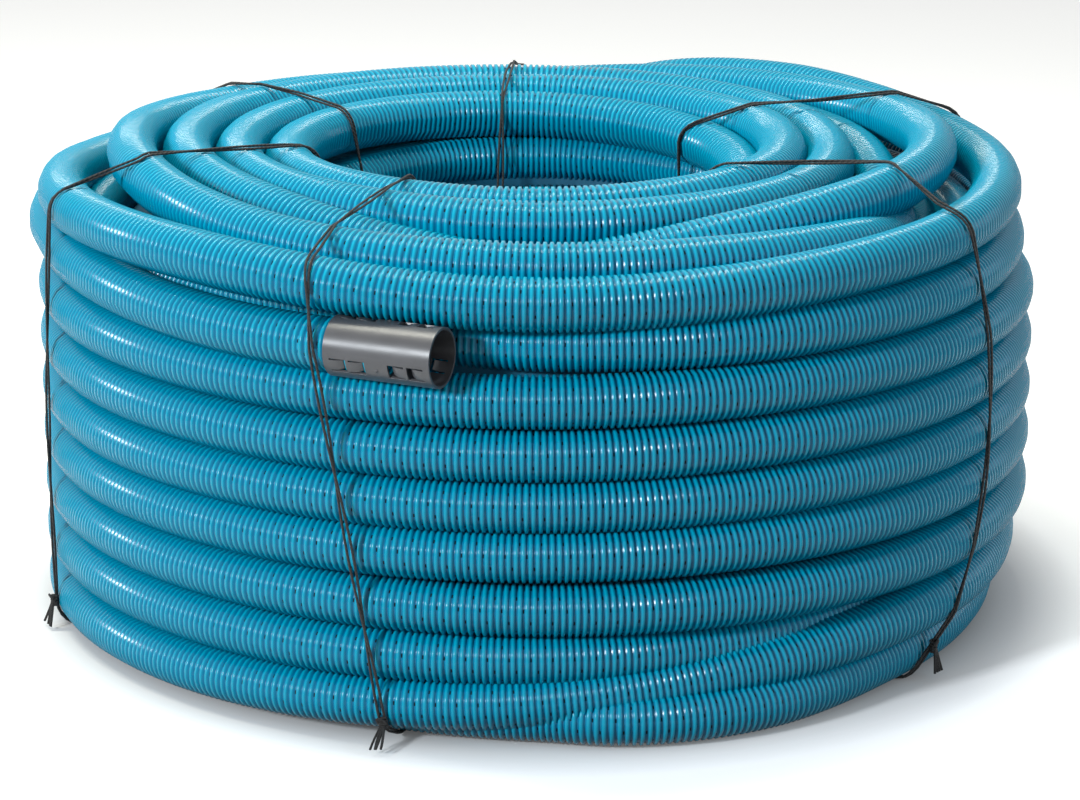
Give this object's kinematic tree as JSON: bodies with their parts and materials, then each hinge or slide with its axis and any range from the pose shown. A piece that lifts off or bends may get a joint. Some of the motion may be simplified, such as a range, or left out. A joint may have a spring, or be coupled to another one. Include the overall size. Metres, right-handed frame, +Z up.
{
  "type": "coil of corrugated drainage pipe",
  "caption": "Coil of perforated corrugated plastic drainage pipe, tied with twine, with a snap coupler on its free end.",
  "frame": {"origin": "on the floor, in the middle under the coil", "axes": "+Z up along the coil's axis, -Y towards the coupler's side, +X the way the free end points"},
  "size_m": [0.998, 1.0355, 0.4795],
  "materials": {
    "pipe": "extruded, corrugated PVC",
    "coupler": "moulded, satin",
    "twine": "twisted polypropylene"
  },
  "bodies": {
    "root": {"drain_pipe": "pipe", "coupler": "coupler", "tie_1": "twine", "tie_2": "twine", "tie_3": "twine", "tie_4": "twine", "tie_5": "twine", "tie_6": "twine"}
  },
  "joints": []
}
